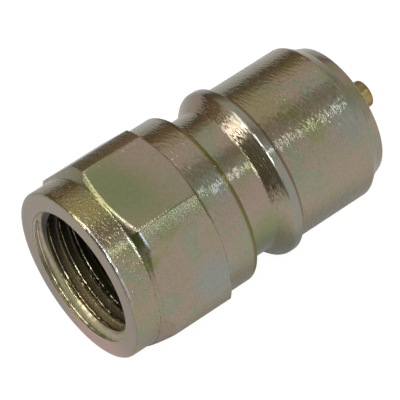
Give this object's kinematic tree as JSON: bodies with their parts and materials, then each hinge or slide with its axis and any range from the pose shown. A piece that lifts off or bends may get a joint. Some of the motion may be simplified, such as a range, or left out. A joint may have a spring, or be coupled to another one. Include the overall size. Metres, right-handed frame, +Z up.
{
  "type": "quick coupling nipple",
  "caption": "Male quick coupling half with a hexagon, a threaded port, a lock groove and a spring-loaded poppet valve in its nose.",
  "frame": {"origin": "centre of the flat ring at the threaded end, on the axis", "axes": "+X along the axis towards the valve tip, +Z up, square to the upper flat of the hexagon"},
  "size_m": [0.0513, 0.0296, 0.027],
  "materials": {
    "plated_steel": "turned and milled steel with a muted yellow passivated zinc plating, satin",
    "valve_brass": "turned, dull",
    "seal_rubber": "matte black",
    "plain_steel": "turned, satin",
    "spring_steel": "drawn, dark"
  },
  "bodies": {
    "housing": {"nipple_body": "plated_steel", "valve_guide": "plain_steel", "retaining_ring": "spring_steel", "poppet_spring": "spring_steel"},
    "valve": {"valve_poppet": "valve_brass", "poppet_seal": "seal_rubber", "seal_washer": "plain_steel"}
  },
  "joints": [
    {"name": "poppet_slide", "type": "slide", "parent": "housing", "child": "valve", "axis": [-1, 0, 0], "range_m": [0, 0.0044], "stiffness_N_per_m": 2000, "springref_m": -0.004, "deforming": ["poppet_spring"]}
  ]
}
